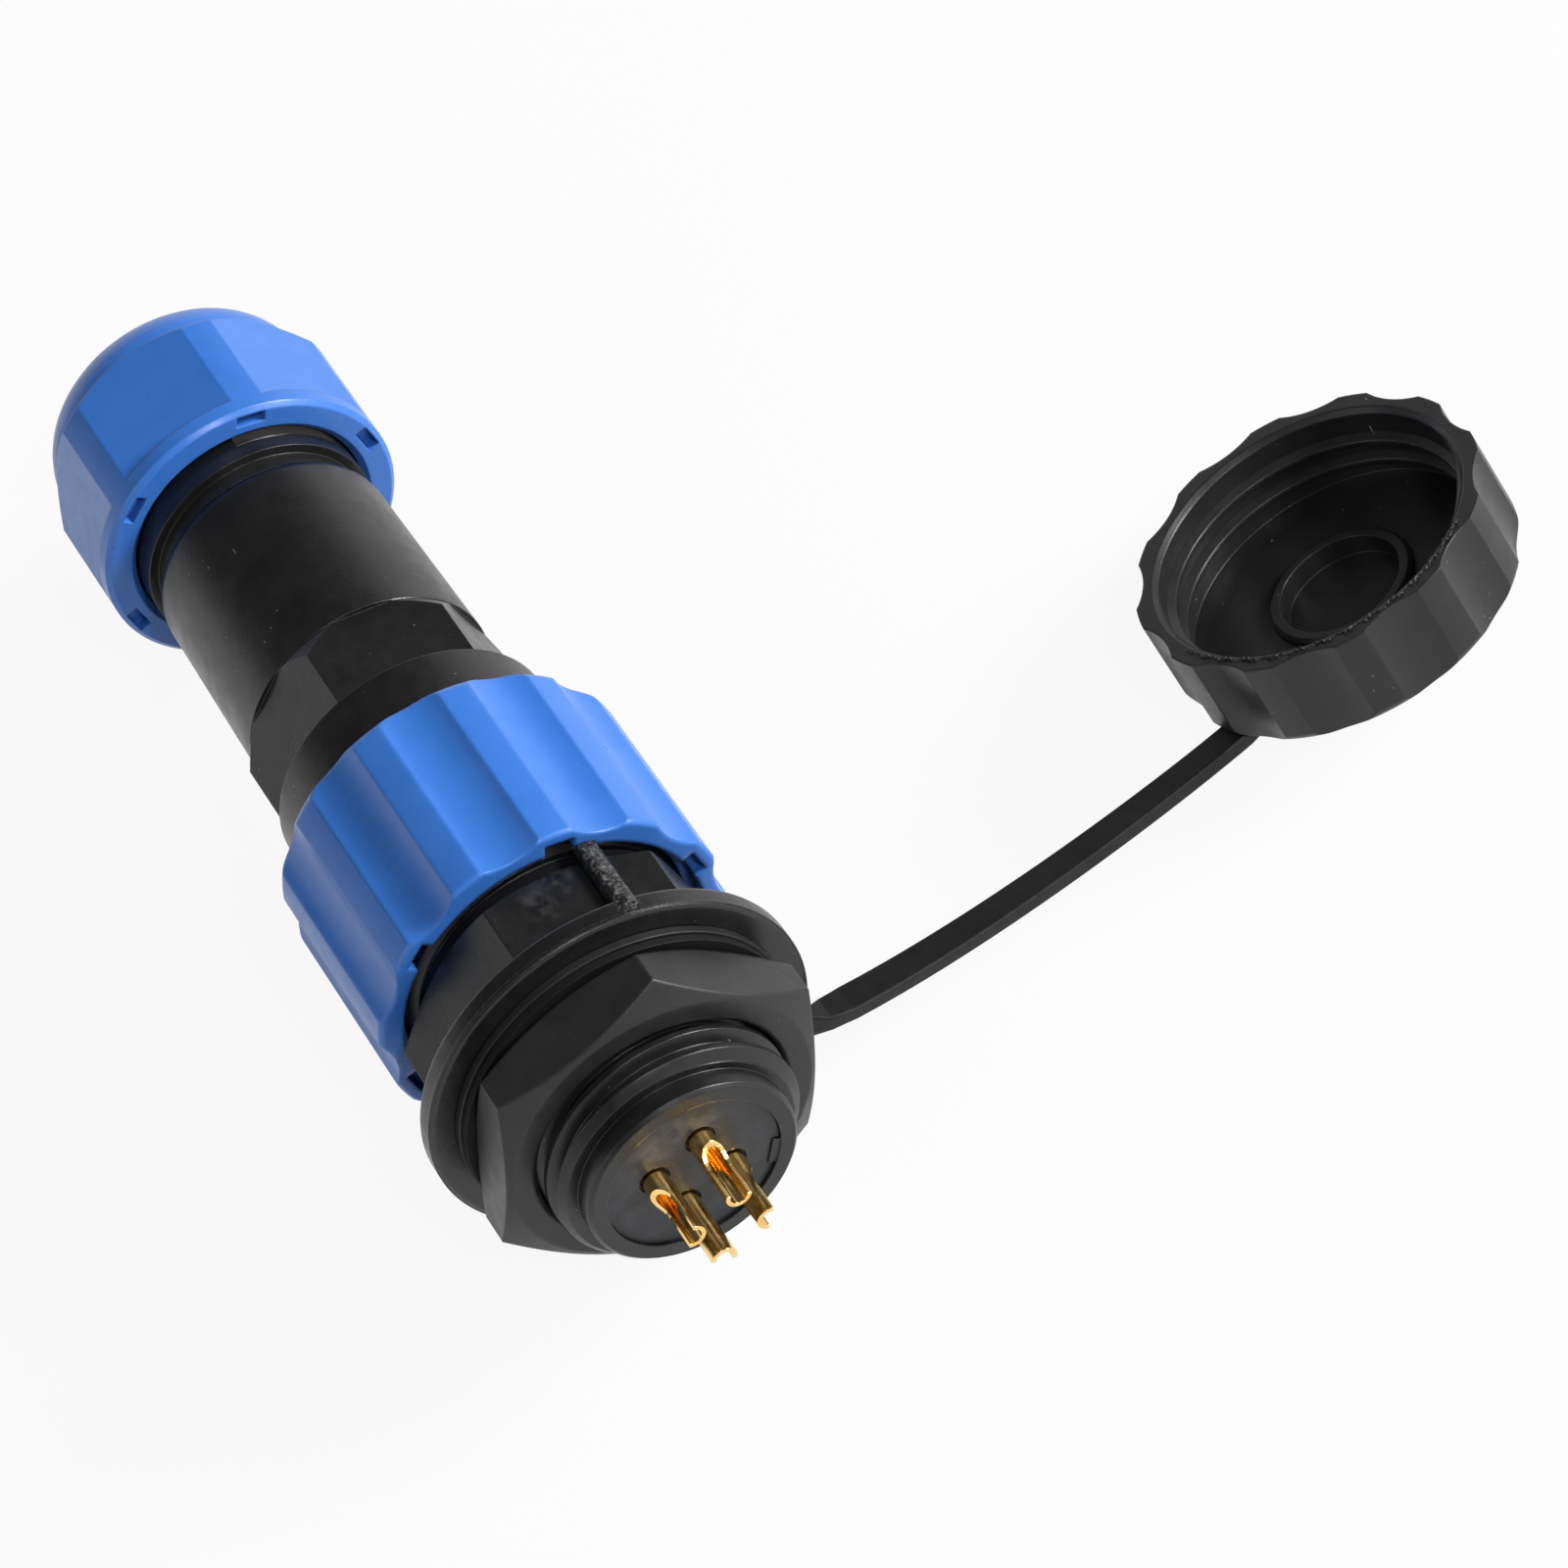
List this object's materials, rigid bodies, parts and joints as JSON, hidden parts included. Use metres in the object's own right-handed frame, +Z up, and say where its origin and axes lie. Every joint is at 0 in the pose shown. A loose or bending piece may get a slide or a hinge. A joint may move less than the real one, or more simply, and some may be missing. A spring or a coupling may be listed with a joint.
{
  "type": "waterproof circular connector",
  "caption": "Waterproof circular connector lying mated: flanged panel socket with solder cups and hex nut, cable plug with fluted coupling ring and domed gland nut, dust cap on a strap.",
  "frame": {"origin": "on the connector's axis, at the flange's rear face, which seats on the panel", "axes": "+X along the connector towards the solder cups, +Y towards the dust cap, +Z up; it lies on its flange"},
  "size_m": [0.0997, 0.0937, 0.031],
  "materials": {
    "black_plastic": "satin moulded nylon",
    "black_rubber": "matt soft plastic",
    "blue_plastic": "satin moulded nylon",
    "insert_plastic": "matt moulded",
    "gilt_contact": "gilt, polished",
    "white_plastic": "natural nylon"
  },
  "bodies": {
    "socket": {"socket_body": "black_plastic", "socket_insert": "insert_plastic", "socket_contact_1": "gilt_contact", "socket_contact_2": "gilt_contact", "socket_contact_3": "gilt_contact", "socket_contact_4": "gilt_contact"},
    "gasket": {"panel_gasket": "black_rubber"},
    "nut": {"panel_nut": "black_plastic"},
    "tether": {"cap_tether": "black_rubber"},
    "cap": {"dust_cap": "black_plastic"},
    "plug": {"plug_shell": "black_plastic", "plug_insert": "insert_plastic", "plug_contact_1": "gilt_contact", "plug_contact_2": "gilt_contact", "plug_contact_3": "gilt_contact", "plug_contact_4": "gilt_contact", "coupling_seal": "black_rubber", "back_shell": "black_plastic", "shell_oring": "black_rubber", "cable_seal": "black_rubber"},
    "ring": {"coupling_ring": "blue_plastic"},
    "clamp": {"clamp_collet": "white_plastic", "clamp_washer": "white_plastic"},
    "gland": {"gland_nut": "blue_plastic"}
  },
  "joints": [
    {"name": "tether_swivel", "type": "hinge", "parent": "socket", "child": "tether", "pos_m": [0, 0, 0], "axis": [1, 0, 0], "continuous": true},
    {"name": "cap_turn", "type": "hinge", "parent": "tether", "child": "cap", "pos_m": [-0.004, 0.0642, -0.01189], "axis": [-0.263, 0, 0.9648], "continuous": true},
    {"name": "nut_travel", "type": "slide", "parent": "socket", "child": "gasket", "axis": [1, 0, 0], "range_m": [0, 0.008]},
    {"name": "nut_turn", "type": "hinge", "parent": "gasket", "child": "nut", "pos_m": [0, 0, 0], "axis": [1, 0, 0], "range_deg": [0, 1441]},
    {"name": "plug_draw", "type": "slide", "parent": "socket", "child": "plug", "axis": [-1, 0, 0], "range_m": [0, 0.006]},
    {"name": "ring_turn", "type": "hinge", "parent": "plug", "child": "ring", "pos_m": [0, 0, 0], "axis": [-1, 0, 0], "range_deg": [0, 1081]},
    {"name": "gland_travel", "type": "slide", "parent": "plug", "child": "clamp", "axis": [1, 0, 0], "range_m": [-0.004, 0.0024]},
    {"name": "gland_turn", "type": "hinge", "parent": "clamp", "child": "gland", "pos_m": [0, 0, 0], "axis": [1, 0, 0], "range_deg": [-961, 577]}
  ],
  "couplings": [
    {"joint": "nut_turn", "follows": "nut_travel", "rad_per_m": 3141.6},
    {"joint": "ring_turn", "follows": "plug_draw", "rad_per_m": 3141.6},
    {"joint": "gland_turn", "follows": "gland_travel", "rad_per_m": 4188.8}
  ]
}
